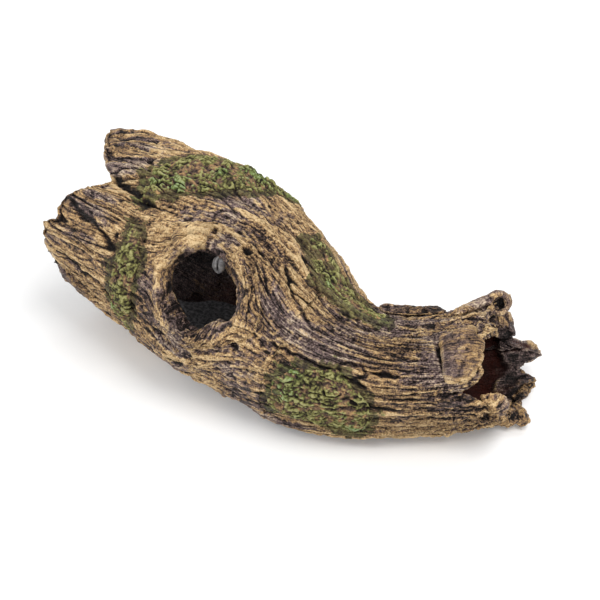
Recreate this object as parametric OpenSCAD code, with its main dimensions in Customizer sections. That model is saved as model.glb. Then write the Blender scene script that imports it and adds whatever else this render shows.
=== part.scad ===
// Hollow log cave for an aquarium or pond: a stout trunk that bends into a slimmer arm.
// The log lies along X on a flat sole at z = 0, with the splintered end at -X and the mouth at +X.
// Around the log, an angle of 0 faces the front (-Y), 90 is the top, 180 the back and 270 the sole.

/* [Log] */
// Length of the log's spine, end station to end station
spine_len = 252; // [220:4:300]
// Thickness of the cast walls
wall = 6; // [4.5:0.5:7]
// How far the sides swell and dip, as a share of the radius
swell = 0.03; // [0:0.005:0.04]
// Size of the facets on the large shells
facet = 5; // [4.5:0.5:9]

/* [Ends] */
// Depth of the notches between the splinters at the trunk's end, 1 being the normal depth
splinter_depth = 1; // [0.4:0.1:1.2]
// How far the near side of the mouth is cut back, in stations
mouth_slant = 0.4; // [0.1:0.05:0.5]
// How far the lobes of the mouth's edge stand out, in stations
mouth_lobes = 0.1; // [0:0.02:0.14]

/* [Knot hole] */
// Diameter of the knot hole
knot_d = 44; // [32:1:46]
// Outer diameter of the collar around the knot hole, as a multiple of the hole
collar_ratio = 1.45; // [1.3:0.05:1.6]
// Height of the collar's ridge
collar_h = 4.5; // [3:0.5:6]

/* [Joints] */
// How far the tongue on each upper half reaches behind the lower half, in degrees
lap = 6; // [4:1:9]
// Glue gap between two pieces
glue = 0.3; // [0.2:0.05:0.4]

/* [Moss and floor] */
// Thickness of the moss pads
moss_h = 2.4; // [1.5:0.1:4]
// Thickness of the floor plate
floor_h = 3; // [2:0.5:5]
// Height of the floor plate above the wall under it
floor_gap = 3; // [0.3:0.1:3]

/* [Hidden] */

// Stations along the spine: x, y and height of the centre, then the radius across and the radius up
stations = [
    [-128, 31, 57, 48, 42],
    [ -95, 25, 54, 53, 47],
    [ -57, 19, 50, 56, 52],
    [ -20,  6, 45, 54, 49],
    [  18, -8, 36, 43, 40],
    [  52, -8, 31, 34, 33],
    [  88,  7, 31, 31, 31],
    [ 124, 29, 34, 35, 35]
];
last = len(stations) - 1;
drawn_len = stations[last].x - stations[0].x;

// Edge of the splintered end: station reached at each angle, with a splinter wherever it is low
splinters = [
    [0, 0.1], [16, -0.05], [30, 0.3], [44, 0.14], [60, 0.62], [67, 0.74], [78, 0.36],
    [90, 0.06], [102, -0.12], [120, -0.3], [134, -0.34], [144, 0], [154, 0.4], [168, 0.15],
    [186, 0.45], [215, 0.3], [270, 0.5], [325, 0.3], [360, 0.1]
];

// Station where the trunk ends and the arm begins
bend_t = 4;
// Angles of the two seams between the upper and lower halves
seam_front = -14;
seam_back = 194;
// Centre of the knot hole: station and angle
knot_t = 3.0;
knot_a = 38;
knot_r = knot_d / 2;
collar_r = knot_r * collar_ratio;

// ---- The log's skin ----

// The station i, carried on past both ends in a straight line
function station(i) =
    i < 0 ? 2 * stations[0] - stations[1]
    : i > last ? 2 * stations[last] - stations[last - 1]
    : stations[i];

// A smooth curve through p1 and p2 that heads as its neighbours do
function smooth_curve(p0, p1, p2, p3, u) =
    0.5 * (2 * p1 + (p2 - p0) * u + (2 * p0 - 5 * p1 + 4 * p2 - p3) * u * u
        + (3 * p1 - p0 - 3 * p2 + p3) * u * u * u);

// Centre and radii of the log at station t
function spine(t) =
    let (i = max(0, min(last - 1, floor(t))))
    let (s = smooth_curve(station(i - 1), station(i), station(i + 1), station(i + 2), t - i))
    [s[0] * spine_len / drawn_len, s[1], s[2], s[3], s[4]];

function centre(t) = let (s = spine(t)) [s[0], s[1], s[2]];
function unit(v) = v / norm(v);
function heading(t) = unit(centre(t + 0.01) - centre(t - 0.01));
function mix(a, b, u) = a + (b - a) * u;
function ease(u) = let (v = max(0, min(1, u))) v * v * (3 - 2 * v);

// The low swells that run slowly round the log
function lump(t, a) = 1 + swell * sin(3 * a + 60 * t) + swell * 0.6 * sin(5 * a - 80 * t + 40);

// Point on the log at station t and angle a, the given depth under the bark, never below the sole
function skin(t, a, depth = 0) =
    let (s = spine(t), d = heading(t))
    let (side = unit(cross(d, [0, 0, 1])), up = cross(side, d), k = lump(t, a))
    let (p = centre(t) + side * cos(a) * (s[3] * k - depth) + up * sin(a) * (s[4] * k - depth))
    [p.x, p.y, max(p.z, depth, 0)];

// Outward direction of the bark at station t and angle a
function outward(t, a) = unit(skin(t, a, 0) - skin(t, a, 1));

// Millimetres along the log for one station, and round the log for one degree
function station_mm(t) = norm(centre(t + 0.5) - centre(t - 0.5));
function degree_mm(t) = (spine(t)[3] + spine(t)[4]) / 2 * PI / 180;

function wrap(a) = a - 360 * floor(a / 360);
function splinter_edge(a) = 0.1 + (lookup(wrap(a), splinters) - 0.1) * splinter_depth;
function mouth_edge(a) =
    6.73 - mouth_slant * cos(a - 20)
    + mouth_lobes * sin(9 * a + 50) + mouth_lobes * 0.7 * sin(14 * a);
function bend_edge(a) = bend_t;

// ---- Solids built from a grid of points ----

// Two triangles for the four corners of a grid cell
function quad(a, b, c, d) = [[a, c, b], [a, d, c]];

// Closed solid between an outer and an inner grid, both rows by columns, with an optional window
// of cells left open through it. Each window is [first row, first column, cells square].
module shell(outer, inner, window = [0, 0, 0]) {
    rows = len(outer);
    cols = len(outer[0]);
    base = rows * cols;
    function at(r, c) = r * cols + c;
    function cell_open(r, c) =
        r >= window[0] && r < window[0] + window[2] && c >= window[1] && c < window[1] + window[2];
    r0 = window[0];
    c0 = window[1];
    n = window[2];
    faces = [
        for (r = [0:rows - 2], c = [0:cols - 2]) if (!cell_open(r, c)) each concat(
            quad(at(r, c), at(r + 1, c), at(r + 1, c + 1), at(r, c + 1)),
            quad(base + at(r, c), base + at(r, c + 1), base + at(r + 1, c + 1), base + at(r + 1, c))
        ),
        for (c = [0:cols - 2]) each concat(
            quad(at(0, c), at(0, c + 1), base + at(0, c + 1), base + at(0, c)),
            quad(at(rows - 1, c + 1), at(rows - 1, c), base + at(rows - 1, c), base + at(rows - 1, c + 1))
        ),
        for (r = [0:rows - 2]) each concat(
            quad(at(r + 1, 0), at(r, 0), base + at(r, 0), base + at(r + 1, 0)),
            quad(at(r, cols - 1), at(r + 1, cols - 1), base + at(r + 1, cols - 1), base + at(r, cols - 1))
        ),
        if (n > 0) for (k = [0:n - 1]) each concat(
            quad(at(r0, c0 + k + 1), at(r0, c0 + k), base + at(r0, c0 + k), base + at(r0, c0 + k + 1)),
            quad(at(r0 + n, c0 + k), at(r0 + n, c0 + k + 1),
                base + at(r0 + n, c0 + k + 1), base + at(r0 + n, c0 + k)),
            quad(at(r0 + k, c0), at(r0 + k + 1, c0), base + at(r0 + k + 1, c0), base + at(r0 + k, c0)),
            quad(at(r0 + k + 1, c0 + n), at(r0 + k, c0 + n),
                base + at(r0 + k, c0 + n), base + at(r0 + k + 1, c0 + n))
        )
    ];
    polyhedron(concat([for (row = outer) each row], [for (row = inner) each row]), faces);
}

// ---- Halves of the hollow log ----

// A half is made of rungs, each [outer angle, outer depth, inner angle, inner depth], repeated along it.
// The three rungs at an upper half's edge, with angles inwards from the seam: its inner layer
// reaches past the seam as a tongue.
upper_edge = [
    [-lap, wall / 2 + glue, -lap, wall],
    [0, wall / 2 + glue, 0.5, wall],
    [0, 0, 2.5, wall]
];
// The three at a lower half's edge: its inner layer is cut back to make room for the tongue
lower_edge = [
    [0, 0, 0, wall / 2],
    [lap + 1.5, 0, lap + 1, wall / 2],
    [lap + 3, 0, lap + 1, wall]
];

// All the rungs of a half from seam a0 to seam a1: its edge, n - 1 plain rungs, and the edge mirrored
function rungs_of(edge, a0, a1, n) =
    let (inset = edge[2][0])
    concat(
        [for (g = edge) [a0 + g[0], g[1], a0 + g[2], g[3]]],
        [for (j = [1:n - 1]) let (a = mix(a0 + inset, a1 - inset, j / n)) [a, 0, a, wall]],
        [for (k = [2:-1:0]) let (g = edge[k]) [a1 - g[0], g[1], a1 - g[2], g[3]]]
    );
function upper_rungs(n) = rungs_of(upper_edge, seam_front, seam_back, n);
function lower_rungs(n) = rungs_of(lower_edge, seam_back, seam_front + 360, n);

// Station at share u of the way along a half, whose two ends are edges that vary with the angle
function part_way(from, to, a, u) = mix(from(a), to(a), u);

// One half of the log between two edges, made of rungs repeated along it
module half(from, to, steps, rungs) {
    shell(
        [for (i = [0:steps]) [for (g = rungs) skin(part_way(from, to, g[0], i / steps), g[0], g[1])]],
        [for (i = [0:steps]) [for (g = rungs) skin(part_way(from, to, g[2], i / steps), g[2], g[3])]]
    );
}

trunk_steps = round(150 / facet);
arm_steps = round(100 / facet);
trunk_upper_cols = round(190 / facet);
trunk_lower_cols = round(125 / facet);
arm_upper_cols = round(120 / facet);
arm_lower_cols = round(75 / facet);

// The knot hole is a square window of grid cells whose edge is drawn out into a circle
window_cells = 2 * round(knot_d / facet / 2);
window_row = round(mix(0, trunk_steps, (knot_t - splinter_edge(knot_a)) / (bend_t - splinter_edge(knot_a))))
    - window_cells / 2;
window_col = 2 + round(trunk_upper_cols * (knot_a - seam_front) / (seam_back - seam_front))
    - window_cells / 2;

// Station and angle at a distance r from the knot's centre, in the direction f round the hole
function knot_place(r, f) = [
    knot_t + r * cos(f) / station_mm(knot_t),
    knot_a + r * sin(f) / degree_mm(knot_t)
];

// Place of a grid point near the knot: on the circle at the window's edge, its own place further off
function around_knot(place, row, col) =
    let (q = [row - window_row, col - window_col] - [1, 1] * window_cells / 2)
    let (m = max(abs(q[0]), abs(q[1])) / (window_cells / 2))
    m < 0.01 || m > 2 ? place
    : mix(knot_place(knot_r * m, atan2(q[1], q[0])), place, ease(m - 1));

module trunk_upper() {
    rungs = upper_rungs(trunk_upper_cols);
    function place(i, c, a) =
        around_knot([part_way(function (x) splinter_edge(x), function (x) bend_edge(x), a, i / trunk_steps), a],
            i, c);
    color("#7d6248") shell(
        [for (i = [0:trunk_steps]) [for (c = [0:len(rungs) - 1])
            let (g = rungs[c], p = place(i, c, g[0])) skin(p[0], p[1], g[1])]],
        [for (i = [0:trunk_steps]) [for (c = [0:len(rungs) - 1])
            let (g = rungs[c], p = place(i, c, g[2])) skin(p[0], p[1], g[3])]],
        [window_row, window_col, window_cells]
    );
}

module trunk_lower() {
    color("#6b5442") half(function (a) splinter_edge(a), function (a) bend_edge(a),
        trunk_steps, lower_rungs(trunk_lower_cols));
}

module branch_upper() {
    color("#86694b") half(function (a) bend_edge(a), function (a) mouth_edge(a),
        arm_steps, upper_rungs(arm_upper_cols));
}

module branch_lower() {
    color("#735a45") half(function (a) bend_edge(a), function (a) mouth_edge(a),
        arm_steps, lower_rungs(arm_lower_cols));
}

// ---- The floor ----

// Half the width of the flat floor inside the log at station t, kept clear of the inner walls
function floor_half(t) =
    let (s = spine(t), across = s[3] * (1 - 1.6 * swell) - wall, up = s[4] * (1 - 1.6 * swell) - wall)
    let (drop = (s[2] - wall - floor_gap) / up)
    across * sqrt(max(0, 1 - drop * drop)) - 1;

function floor_edge(t, side_sign) =
    let (d = heading(t), c = centre(t))
    [c.x, c.y] + side_sign * unit([d.y, -d.x]) * max(1.5, floor_half(t));

// Slab that lies in the belly of the trunk, with an edge that follows the walls
module floor_plate() {
    first_t = 1.1;
    last_t = 3.8;
    steps = 18;
    stops = [for (i = [0:steps]) mix(first_t, last_t, i / steps)];
    color("#2f3033") translate([0, 0, wall + floor_gap]) linear_extrude(floor_h) polygon(concat(
        [for (t = stops) floor_edge(t, 1)],
        [for (i = [steps:-1:0]) floor_edge(stops[i], -1)]
    ));
}

// ---- The knot hole's collar and what stands on it ----

// Closed solid swept through rings of points; the last ring joins the first unless it is capped
module sweep(rings, capped = false) {
    count = len(rings);
    sides = len(rings[0]);
    spans = capped ? count - 1 : count;
    function at(r, c) = (r % count) * sides + c % sides;
    faces = [
        for (r = [0:spans - 1], c = [0:sides - 1])
            each quad(at(r, c), at(r + 1, c), at(r + 1, c + 1), at(r, c + 1)),
        if (capped) for (c = [1:sides - 2]) each [
            [at(0, 0), at(0, c + 1), at(0, c)],
            [at(count - 1, 0), at(count - 1, c), at(count - 1, c + 1)]
        ]
    ];
    polyhedron([for (ring = rings) each ring], faces);
}

// Section of the collar from the hole outwards: share of the way out, and share of the full height
collar_section = [[0, 0.35], [0.12, 0.85], [0.3, 1], [0.55, 0.75], [0.8, 0.35], [1, 0.1]];

function collar_height(f) = collar_h * (0.85 + 0.2 * sin(2 * f + 30) + 0.1 * sin(5 * f));

function collar_point(f, out, height) =
    let (reach = mix(knot_r, collar_r * (0.95 + 0.05 * sin(3 * f + 20)), out))
    let (p = knot_place(reach, f))
    skin(p[0], p[1], -glue - height);

module knot_collar() {
    turns = 36;
    color("#7a5a3e") sweep([for (i = [0:turns - 1]) let (f = -360 * i / turns) concat(
        [for (g = collar_section) collar_point(f, g[0], g[1] * collar_height(f))],
        [for (out = [1, 0.66, 0.33, 0]) collar_point(f, out, 0)]
    )]);
}

// Turns a shape that stands along +Z so that it stands on the bark at station t and angle a
module stand_on(t, a, height) {
    n = outward(t, a);
    translate(skin(t, a, -height))
        rotate([0, acos(n.z), atan2(n.y, n.x)])
        children();
}

// Broken twig stub with a rotted pit in its end
module knot_stub() {
    stub_f = 136;
    crest_r = mix(knot_r, collar_r, 0.3);
    place = knot_place(crest_r, stub_f);
    color("#8a6a44") stand_on(place[0], place[1], collar_height(stub_f) + 1.5 * glue)
        rotate_extrude($fn = 32)
        polygon([[0, 0], [5.2, 0], [4.8, 2.5], [3.6, 4.2], [2.4, 4.4], [1.6, 2], [0, 1.6]]);
}

// Smooth nodule of old bark on the wall of the hole
module knot_nodule() {
    nodule_r = 3.4;
    place = knot_place(knot_r - nodule_r - 2 * glue, 98);
    color("#6f6a68") stand_on(place[0], place[1], -wall + 1)
        scale(nodule_r)
        sphere(1, $fn = 32);
}

// ---- Pieces laid on the bark ----

// Where the share (u, v) of a pad lies, each from -1 to 1. The pad is centred on a station and angle,
// reaches half_t stations and half_a degrees, leans by `lean` degrees, and has a wavy edge.
function pad_place(pad, u, v, seed) =
    let (f = atan2(v, u), m = max(abs(u), abs(v)), e = norm([u, v]))
    let (round_off = e < 0.01 ? 1 : mix(1, m / e, 0.6))
    let (wave = 1 + 0.08 * sin(3 * f + seed) + 0.06 * sin(5 * f + 2 * seed) + 0.04 * sin(8 * f + seed))
    let (x = u * round_off * wave, y = v * round_off * wave)
    [pad[0] + pad[2] * x, pad[1] + pad[3] * y + pad[4] * x];

// A pad as [station, angle, half_t, half_a, lean], with its cells each way and its height on the bark
module laid_pad(pad, rows, cols, height, seed) {
    function rise(u, v) =
        let (m = max(abs(u), abs(v)))
        height * (0.25 + 0.75 * (1 - pow(m, 4))) * (1 + 0.12 * sin(400 * u + seed) * cos(330 * v));
    function grid(top) = [for (i = [0:rows]) [for (j = [0:cols])
        let (u = 2 * i / rows - 1, v = 2 * j / cols - 1, p = pad_place(pad, u, v, seed))
        skin(p[0], p[1], -glue - (top ? rise(u, v) : 0))]];
    shell(grid(true), grid(false));
}

module moss_top() {
    color("#6f7a2c") laid_pad([1.88, 101, 0.75, 21, 26], 14, 9, moss_h, 10);
}

module moss_left() {
    color("#66702c") laid_pad([1.66, 10, 0.26, 32, -8], 6, 12, moss_h, 100);
}

module moss_front() {
    color("#75852c") laid_pad([4.66, 2, 0.53, 32, -3], 9, 10, moss_h, 200);
}

module moss_slope() {
    color("#4f5a2a") laid_pad([4.3, 108, 0.95, 14, -4], 15, 5, moss_h * 0.8, 300);
}

// Flake of bark that stands proud beside the mouth
module bark_flap() {
    color("#8b6f55") laid_pad([6.2, 60, 0.2, 21, 6], 6, 8, 4, 60);
}

// Strip of dark bark along the back of the arm
module bark_strip() {
    color("#4a4038") laid_pad([5.53, 144, 0.6, 13, -6], 11, 4, 4.5, 150);
}

// ---- The mouth ----

// Curled horn over the mouth, a tapered tube that leans out and rolls over
module mouth_horn() {
    steps = 8;
    sides = 10;
    function horn_centre(u) = skin(6.15 + 0.72 * u, 104 + 13 * u, -2.9 - 0.9 * u * u);
    function horn_radius(u) = 3.1 * sqrt(max(0.05, 1 - pow(abs(2 * u - 1.05), 3))) * (0.8 + 0.2 * u);
    function horn_ring(u) =
        let (n = outward(6.15 + 0.72 * u, 110), d = unit(horn_centre(u + 0.01) - horn_centre(u - 0.01)))
        let (b = unit(cross(d, n)), w = cross(b, d))
        [for (k = [0:sides - 1]) let (f = 360 * k / sides)
            horn_centre(u) + horn_radius(u) * (b * cos(f) + w * sin(f))];
    color("#7c5f43") sweep([for (i = [0:steps]) horn_ring(i / steps)], true);
}

// Crust of crumbled lumps along the lower edge of the mouth
module mouth_burl() {
    first_a = 215;
    last_a = 372;
    cols = 40;
    gap_t = 0.01;
    rows = 3;
    angles = [for (j = [0:cols]) mix(first_a, last_a, j / cols)];
    function crust(a, u) = mouth_edge(a) + gap_t + u * (0.03 + 0.11 * abs(sin(6.5 * (a - first_a))));
    color("#6e5640") shell(
        [for (i = [0:rows]) [for (a = angles) skin(crust(a, i / rows), a, i == rows ? 1.5 : 0)]],
        [for (i = [0:rows]) [for (a = angles) skin(crust(a, i / rows), a, wall - (i == rows ? 1.5 : 0))]]
    );
}

trunk_upper();
trunk_lower();
branch_upper();
branch_lower();
floor_plate();
knot_collar();
knot_stub();
knot_nodule();
bark_flap();
bark_strip();
mouth_horn();
mouth_burl();
moss_top();
moss_left();
moss_front();
moss_slope();
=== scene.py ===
"""Looks of a hollow log cave for an aquarium: carved and hand-painted cast resin on a flat sole.

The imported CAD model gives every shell, pad and slab. Each is copied, remeshed finely and carved
here along the log's own grain, then painted with procedural materials. Lengths in the carving are in
millimetres; Blender's own objects are in metres."""

import math

import bpy
import numpy as np
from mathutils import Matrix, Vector
from mathutils.bvhtree import BVHTree


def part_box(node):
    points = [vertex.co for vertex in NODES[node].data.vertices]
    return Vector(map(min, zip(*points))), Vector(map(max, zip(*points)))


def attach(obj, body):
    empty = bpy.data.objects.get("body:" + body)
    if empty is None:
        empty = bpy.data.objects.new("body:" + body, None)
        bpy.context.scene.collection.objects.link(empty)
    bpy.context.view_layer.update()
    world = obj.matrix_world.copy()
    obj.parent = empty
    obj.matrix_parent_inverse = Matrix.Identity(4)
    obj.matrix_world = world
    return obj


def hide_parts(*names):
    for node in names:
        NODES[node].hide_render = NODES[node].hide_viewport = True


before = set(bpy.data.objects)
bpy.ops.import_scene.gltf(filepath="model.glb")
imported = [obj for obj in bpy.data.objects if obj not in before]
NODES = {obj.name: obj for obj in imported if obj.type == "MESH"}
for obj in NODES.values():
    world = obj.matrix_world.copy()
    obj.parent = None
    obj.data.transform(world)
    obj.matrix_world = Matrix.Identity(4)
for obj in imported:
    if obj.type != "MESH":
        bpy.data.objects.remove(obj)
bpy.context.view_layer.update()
MM = 0.001
SHELLS = ("trunk_upper", "trunk_lower", "branch_upper", "branch_lower")
PADS = ("moss_top", "moss_left", "moss_front", "moss_slope")
# Voxels that the shells and the lesser pieces are remeshed with, in mm
SHELL_VOXEL, PIECE_VOXEL = ((0.75, 0.55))


# ---- Noise -------------------------------------------------------------------------------------


def lattice(ix, iy, iz, seed):
    """A pseudo-random 32-bit number for each whole-numbered point."""
    h = ix.astype(np.uint32) * np.uint32(374761393)
    h = h + iy.astype(np.uint32) * np.uint32(668265263)
    h = h + iz.astype(np.uint32) * np.uint32(2246822519)
    h = h + np.uint32((seed * 3266489917) % 2**32)
    h = (h ^ (h >> np.uint32(15))) * np.uint32(2246822519)
    h = (h ^ (h >> np.uint32(13))) * np.uint32(3266489917)
    return h ^ (h >> np.uint32(16))


def noise(p, seed=0):
    """Smooth gradient noise at points p, about -1 to 1."""
    cell = np.floor(p).astype(np.int64)
    f = (p - cell).astype(np.float32)
    fade = f * f * f * (f * (f * 6 - 15) + 10)
    total = np.zeros(len(p), np.float32)
    for corner in range(8):
        dx, dy, dz = corner & 1, corner >> 1 & 1, corner >> 2 & 1
        h = lattice(cell[:, 0] + dx, cell[:, 1] + dy, cell[:, 2] + dz, seed)
        gx = (h & np.uint32(1023)).astype(np.float32) / 511.5 - 1
        gy = (h >> np.uint32(10) & np.uint32(1023)).astype(np.float32) / 511.5 - 1
        gz = (h >> np.uint32(20) & np.uint32(1023)).astype(np.float32) / 511.5 - 1
        dot = gx * (f[:, 0] - dx) + gy * (f[:, 1] - dy) + gz * (f[:, 2] - dz)
        wx = fade[:, 0] if dx else 1 - fade[:, 0]
        wy = fade[:, 1] if dy else 1 - fade[:, 1]
        wz = fade[:, 2] if dz else 1 - fade[:, 2]
        total += dot * wx * wy * wz
    return total * 1.45


def fractal(p, octaves, seed=0, gain=0.5):
    """Noise with finer and fainter copies of itself added."""
    total, size, weight = 0, 1.0, 1.0
    for octave in range(octaves):
        total = total + weight * noise(p * size, seed + 17 * octave)
        size, weight = size * 2.03, weight * gain
    return total


def cells(p, seed=0):
    """Distance to the nearest scattered point and to the second nearest, one point to each cell."""
    cell = np.floor(p).astype(np.int64)
    first = np.full(len(p), 9.0, np.float32)
    second = np.full(len(p), 9.0, np.float32)
    for step in range(27):
        c = cell + np.array([step % 3 - 1, step // 3 % 3 - 1, step // 9 - 1])
        h = lattice(c[:, 0], c[:, 1], c[:, 2], seed)
        jitter = np.stack([h & np.uint32(1023), h >> np.uint32(10) & np.uint32(1023),
                           h >> np.uint32(20) & np.uint32(1023)], 1) / 1023.0
        d = np.linalg.norm(c + jitter - p, axis=1).astype(np.float32)
        second = np.where(d < first, first, np.minimum(second, d))
        first = np.minimum(first, d)
    return first, second


def ramp(x, low, high):
    """0 below low, 1 above high, smooth between."""
    v = np.clip((x - low) / (high - low), 0, 1)
    return v * v * (3 - 2 * v)


def bundles(x):
    """Noise turned into rounded strands with sharp creases between them."""
    return 1.9 * np.abs(x) ** 0.8 - 0.75


def furrow(x, width):
    """1 where x is near 0, falling to 0 at width: a thin line along the noise's own contours."""
    return 1 - ramp(np.abs(x), 0, width)


# ---- The log's own coordinates -----------------------------------------------------------------


def corners(node):
    """A CAD node's vertices in millimetres."""
    mesh = NODES[node].data
    found = np.empty(len(mesh.vertices) * 3, np.float32)
    mesh.vertices.foreach_get("co", found)
    return found.reshape(-1, 3).astype(float) / MM


def smooth_line(values, passes):
    """A row of values, each pass averaging every one but the ends with its neighbours."""
    values = values.copy()
    for _ in range(passes):
        values[1:-1] = 0.25 * values[:-2] + 0.5 * values[1:-1] + 0.25 * values[2:]
    return values


class Spine:
    """The log's centre line, found from slices of its four shells, and the grain that runs along it."""

    SLICES = 34
    SLICE_HALF = 5.0  # mm
    INSET = 22.0  # mm from the log's ends to the first and last slice
    OVERRUN = 60.0  # mm that the line runs on past them
    SAMPLES = 500

    def __init__(self):
        shells = np.concatenate([corners(name) for name in SHELLS])
        low, high = shells[:, 0].min(), shells[:, 0].max()
        xs = np.linspace(low + self.INSET, high - self.INSET, self.SLICES)
        middle = []
        for x in xs:
            near = shells[np.abs(shells[:, 0] - x) < self.SLICE_HALF]
            middle.append([x, *(near[:, 1:].min(0) + near[:, 1:].max(0)) / 2])
        middle = smooth_line(np.array(middle), 6)
        back, onward = middle[0] - middle[3], middle[-1] - middle[-4]
        start = middle[0] + back / np.linalg.norm(back) * self.OVERRUN
        end = middle[-1] + onward / np.linalg.norm(onward) * self.OVERRUN
        line = np.vstack([start, middle, end])
        length = np.r_[0, np.cumsum(np.linalg.norm(np.diff(line, axis=0), axis=1))]
        self.s = np.linspace(0, length[-1], self.SAMPLES)
        self.c = np.stack([np.interp(self.s, length, line[:, k]) for k in range(3)], 1)
        self.c = smooth_line(self.c, 60)
        d = np.gradient(self.c, axis=0)
        self.d = d / np.linalg.norm(d, axis=1, keepdims=True)
        side = np.cross(self.d, [0, 0, 1.0])
        self.side = side / np.linalg.norm(side, axis=1, keepdims=True)
        self.up = np.cross(self.side, self.d)

    def at(self, table, s):
        """A table's row for each distance s along the log."""
        return np.stack([np.interp(s, self.s, table[:, k]) for k in range(3)], 1)

    def place(self, p):
        """Distance along the log, angle round it (0 front, a quarter turn up) and distance from it."""
        s = np.interp(p[:, 0], self.c[:, 0], self.s)
        for _ in range(6):
            s = s + ((p - self.at(self.c, s)) * self.at(self.d, s)).sum(1)
            s = np.clip(s, self.s[0], self.s[-1])
        away = p - self.at(self.c, s)
        across = (away * self.at(self.side, s)).sum(1)
        up = (away * self.at(self.up, s)).sum(1)
        return s, np.arctan2(up, across), np.hypot(across, up)

    def outward(self, s, angle):
        """Direction straight out from the centre line."""
        return self.at(self.side, s) * np.cos(angle)[:, None] + self.at(self.up, s) * np.sin(angle)[:, None]


spine = Spine()
GRAIN_R = 45.0  # mm, the radius that turns an angle into a distance round the log


class Knot:
    """The knot hole's place, read from its collar."""

    def __init__(self):
        ring = corners("knot_collar")
        middle = ring.mean(0)
        s, angle, _ = spine.place(middle[None])
        self.s, self.angle = s[0], angle[0]
        self.axis = spine.outward(s, angle)[0]
        away = ring - middle
        radial = np.linalg.norm(away - (away @ self.axis)[:, None] * self.axis, axis=1)
        self.hole = radial.min()
        self.middle = middle


knot = Knot()


def flow_offset(angle):
    """Distance round the log from the knot's centre."""
    return (np.mod(angle - knot.angle + np.pi, 2 * np.pi) - np.pi) * GRAIN_R


def grain_flow(s, angle):
    """The grain's own coordinates, which part and close again round the knot as water does."""
    x = s - knot.s
    y = flow_offset(angle)
    r2 = np.maximum(x * x + y * y, (knot.hole * 0.8) ** 2)
    a2 = (knot.hole * 1.12) ** 2
    return s + x * a2 / r2, angle - y * a2 / r2 / GRAIN_R


def grain_points(s, angle, along, across):
    """Points for noise that is drawn out along the grain: its features are along by across, in mm."""
    return np.stack([s / along, GRAIN_R / across * np.cos(angle), GRAIN_R / across * np.sin(angle)], 1)


# ---- Meshes ------------------------------------------------------------------------------------


def blank(name, vertices, faces):
    """A bare mesh object from points in millimetres."""
    mesh = bpy.data.meshes.new(name)
    mesh.from_pydata([tuple(v) for v in np.asarray(vertices) * MM], [], [tuple(f) for f in faces])
    made = bpy.data.objects.new(name, mesh)
    bpy.context.scene.collection.objects.link(made)
    return made


def remeshed(sources, voxel):
    """One fine, even skin round everything in sources, as a mesh; the sources are used up."""
    for extra in sources[1:]:
        pair = [sources[0], extra]
        with bpy.context.temp_override(active_object=sources[0], selected_editable_objects=pair):
            bpy.ops.object.join()
    remesh = sources[0].modifiers.new("even", "REMESH")
    remesh.mode = "VOXEL"
    remesh.voxel_size = voxel * MM
    shaped = sources[0].evaluated_get(bpy.context.evaluated_depsgraph_get())
    mesh = bpy.data.meshes.new_from_object(shaped)
    bpy.data.objects.remove(sources[0])
    return mesh


def copied(node):
    """A loose copy of a CAD node."""
    copy = bpy.data.objects.new("work", NODES[node].data.copy())
    bpy.context.scene.collection.objects.link(copy)
    return copy


def read(mesh):
    """Vertex places and normals of a mesh in millimetres, and its edges."""
    p = np.empty(len(mesh.vertices) * 3, np.float32)
    mesh.vertices.foreach_get("co", p)
    n = np.empty(len(mesh.vertices) * 3, np.float32)
    mesh.vertex_normals.foreach_get("vector", n)
    e = np.empty(len(mesh.edges) * 2, np.int32)
    mesh.edges.foreach_get("vertices", e)
    return p.reshape(-1, 3).astype(float) / MM, n.reshape(-1, 3).astype(float), e.reshape(-1, 2)


def unit(v):
    return v / np.maximum(np.linalg.norm(v, axis=1, keepdims=True), 1e-9)


def averaged(values, edges, passes):
    """Values smoothed over the mesh: each pass moves every vertex halfway to its neighbours' mean."""
    count = np.bincount(edges.ravel(), minlength=len(values)).astype(float)
    flat = values.reshape(len(values), -1)
    for _ in range(passes):
        mean = np.stack([
            np.bincount(edges[:, 0], flat[edges[:, 1], k], len(flat))
            + np.bincount(edges[:, 1], flat[edges[:, 0], k], len(flat))
            for k in range(flat.shape[1])
        ], 1) / np.maximum(count, 1)[:, None]
        flat = 0.5 * flat + 0.5 * mean
    return flat.reshape(values.shape)


def write(mesh, p, **attributes):
    """Puts vertices back, none below the sole, and stores values at them under each name."""
    p = p.copy()
    p[:, 2] = np.maximum(p[:, 2], 0)
    mesh.vertices.foreach_set("co", (p * MM).astype(np.float32).ravel())
    for name, values in attributes.items():
        kind, field = ("FLOAT_VECTOR", "vector") if values.ndim == 2 else ("FLOAT", "value")
        stored = mesh.attributes.new(name, kind, "POINT")
        stored.data.foreach_set(field, values.astype(np.float32).ravel())
    mesh.update()


def piece(name, mesh, material, slot, *nodes):
    """A finished piece that stands for CAD nodes and rides on the one body."""
    made = bpy.data.objects.new(name, mesh)
    bpy.context.scene.collection.objects.link(made)
    mesh.polygons.foreach_set("use_smooth", np.ones(len(mesh.polygons), bool))
    mesh.materials.clear()
    mesh.materials.append(material)
    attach(made, "root")
    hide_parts(*nodes)
    return made


def tree_of(vertices, faces):
    """A search tree over faces, in millimetres."""
    return BVHTree.FromPolygons([tuple(v) for v in vertices], [tuple(f) for f in faces])


def distances(p, tree, reach):
    """For each point the nearest place on a tree within reach, and how far it is."""
    found = p.copy()
    far = np.full(len(p), float(reach))
    for i, point in enumerate(p):
        place, _, _, distance = tree.find_nearest(point, reach)
        if place is not None:
            found[i], far[i] = place, distance
    return found, far


# ---- Carving -----------------------------------------------------------------------------------

# How far a point stands above its near and its wide surroundings before it counts as a ridge, in mm
NEAR_RISE = 0.24
WIDE_RISE = 0.75

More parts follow.
